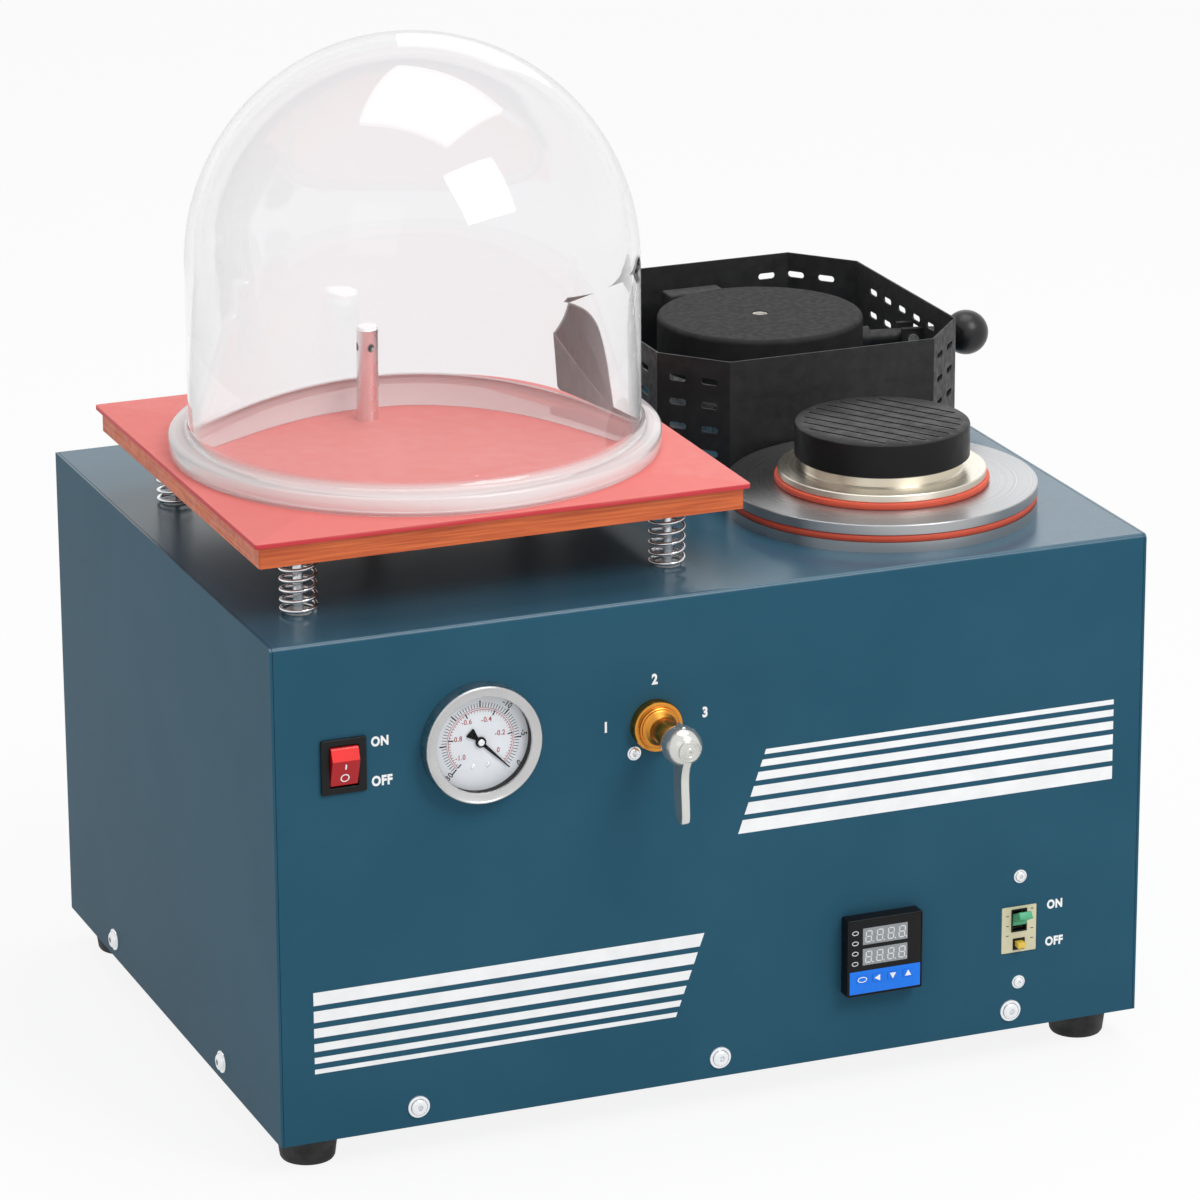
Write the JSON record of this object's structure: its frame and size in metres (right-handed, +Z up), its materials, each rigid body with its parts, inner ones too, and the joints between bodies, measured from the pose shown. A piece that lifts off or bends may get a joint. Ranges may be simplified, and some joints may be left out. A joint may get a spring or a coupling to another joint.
{
  "type": "jewelry vacuum casting machine",
  "caption": "Bench vacuum casting machine: teal cabinet with a sprung table under a clear bell jar, a flask chamber, a small guarded furnace, and a panel with gauge, valve and switches.",
  "frame": {"origin": "on the bench, in the middle of the cabinet's footprint", "axes": "+Z up, the front panel faces -Y, +X to the right as seen from the front"},
  "size_m": [0.5771, 0.4773, 0.615],
  "materials": {
    "teal_paint": "glossy teal powder coat with a fine orange peel",
    "zinc_steel": "bright zinc",
    "foot_rubber": "matte black",
    "black_plastic": "fine matte",
    "laminate": "orange-brown laminate",
    "silicone_pad": "salmon silicone",
    "white_plastic": "plain",
    "spring_wire": "bright wire",
    "chromed_brass": "polished",
    "brass": "turned",
    "acrylic": "clear",
    "red_lens": "translucent red",
    "gauge_steel": "turned",
    "dial_white": "printed",
    "gauge_glass": "clear",
    "needle_black": "painted",
    "face_black": "gloss",
    "key_blue": "plain",
    "cream_plastic": "moulded",
    "green_plastic": "moulded",
    "yellow_plastic": "moulded",
    "stainless": "turned",
    "gasket_red": "silicone",
    "pad_black": "matte",
    "black_paint": "textured black",
    "ceramic_fibre": "fibre board",
    "element_wire": "oxidised",
    "graphite": "graphite",
    "knob_plastic": "phenolic",
    "cast_metal": "cast",
    "fan_plastic": "plain",
    "hose_rubber": "ribless hose"
  },
  "bodies": {
    "base": {"front_top_panel": "teal_paint", "side_panel_left": "teal_paint", "side_panel_right": "teal_paint", "rear_panel": "teal_paint", "base_pan": "teal_paint", "button_screws": "zinc_steel", "rubber_feet": "foot_rubber", "power_inlet": "black_plastic", "guide_bushes": "white_plastic", "table_springs": "spring_wire", "table_port": "brass", "rocker_frame": "black_plastic", "gauge_case": "gauge_steel", "gauge_dial": "dial_white", "gauge_lens": "gauge_glass", "valve_body": "brass", "valve_rosette": "brass", "controller_case": "black_plastic", "controller_face": "face_black", "breaker_body": "cream_plastic", "panel_screws": "zinc_steel", "casting_chamber": "stainless", "large_gasket": "gasket_red", "furnace_guard": "black_paint", "furnace_shell": "stainless", "furnace_lining": "ceramic_fibre", "heating_coil": "element_wire", "thermocouple": "stainless", "pivot_lugs": "black_paint", "pivot_pin": "zinc_steel", "pump_case": "cast_metal", "pump_motor": "cast_metal", "vacuum_pipes": "hose_rubber", "exhaust_pipe": "hose_rubber"},
    "table": {"table_plate": "laminate", "table_pad": "silicone_pad", "guide_bolts": "zinc_steel", "vacuum_nipple": "chromed_brass"},
    "jar": {"bell_jar": "acrylic"},
    "switch_rocker": {"rocker": "red_lens"},
    "needle": {"gauge_needle": "needle_black"},
    "valve_handle": {"valve_plug": "chromed_brass", "valve_lever": "chromed_brass", "lever_cap": "chromed_brass"},
    "set_key": {"key_set": "key_blue"},
    "shift_key": {"key_shift": "key_blue"},
    "down_key": {"key_down": "key_blue"},
    "up_key": {"key_up": "key_blue"},
    "toggle": {"breaker_toggle": "green_plastic"},
    "test_key": {"breaker_button": "yellow_plastic"},
    "adapter": {"adapter_plate": "stainless", "small_gasket": "gasket_red"},
    "seat": {"flask_seat": "stainless", "flask_pad": "pad_black"},
    "lid": {"furnace_lid": "black_paint", "lid_lining": "ceramic_fibre", "lid_rod": "black_paint", "ball_knob": "knob_plastic"},
    "melting_pot": {"crucible": "graphite"},
    "fan": {"pump_fan": "fan_plastic"}
  },
  "joints": [
    {"name": "table_press", "type": "slide", "parent": "base", "child": "table", "axis": [0, 0, 1], "range_m": [-0.01, 0], "stiffness_N_per_m": 8000, "springref_m": 0.008, "deforming": ["table_springs"]},
    {"name": "jar_lift", "type": "slide", "parent": "table", "child": "jar", "axis": [0, 0, 1], "range_m": [0, 0.26]},
    {"name": "rocker_tilt", "type": "hinge", "parent": "base", "child": "switch_rocker", "pos_m": [-0.2285, -0.2015, 0.245], "axis": [1, 0, 0], "range_deg": [-16, 0]},
    {"name": "needle_sweep", "type": "hinge", "parent": "base", "child": "needle", "pos_m": [-0.1475, -0.2025, 0.2484], "axis": [0, -1, 0], "range_deg": [0, 270], "stiffness_Nm_per_rad": 0.0008},
    {"name": "valve_turn", "type": "hinge", "parent": "base", "child": "valve_handle", "pos_m": [-0.0407, -0.2425, 0.2437], "axis": [0, -1, 0], "range_deg": [-90, 90]},
    {"name": "set_press", "type": "slide", "parent": "base", "child": "set_key", "axis": [0, 1, 0], "range_m": [0, 0.0006], "stiffness_N_per_m": 300, "springref_m": -0.0008},
    {"name": "shift_press", "type": "slide", "parent": "base", "child": "shift_key", "axis": [0, 1, 0], "range_m": [0, 0.0006], "stiffness_N_per_m": 300, "springref_m": -0.0008},
    {"name": "down_press", "type": "slide", "parent": "base", "child": "down_key", "axis": [0, 1, 0], "range_m": [0, 0.0006], "stiffness_N_per_m": 300, "springref_m": -0.0008},
    {"name": "up_press", "type": "slide", "parent": "base", "child": "up_key", "axis": [0, 1, 0], "range_m": [0, 0.0006], "stiffness_N_per_m": 300, "springref_m": -0.0008},
    {"name": "toggle_throw", "type": "hinge", "parent": "base", "child": "toggle", "pos_m": [0.192, -0.2005, 0.0885], "axis": [1, 0, 0], "range_deg": [0, 60]},
    {"name": "test_press", "type": "slide", "parent": "base", "child": "test_key", "axis": [0, 1, 0], "range_m": [0, 0.001], "stiffness_N_per_m": 300, "springref_m": -0.001},
    {"name": "adapter_lift", "type": "slide", "parent": "base", "child": "adapter", "axis": [0, 0, 1], "range_m": [0, 0.15]},
    {"name": "seat_lift", "type": "slide", "parent": "adapter", "child": "seat", "axis": [0, 0, 1], "range_m": [0, 0.15]},
    {"name": "lid_hinge", "type": "hinge", "parent": "base", "child": "lid", "pos_m": [0.25433, 0.09368, 0.3635], "axis": [0.1857, 0.9826, 0], "range_deg": [0, 50]},
    {"name": "crucible_lift", "type": "slide", "parent": "base", "child": "melting_pot", "axis": [0, 0, 1], "range_m": [0, 0.05]},
    {"name": "fan_spin", "type": "hinge", "parent": "base", "child": "fan", "pos_m": [-0.132, 0.07, 0.0935], "axis": [1, 0, 0], "continuous": true}
  ]
}
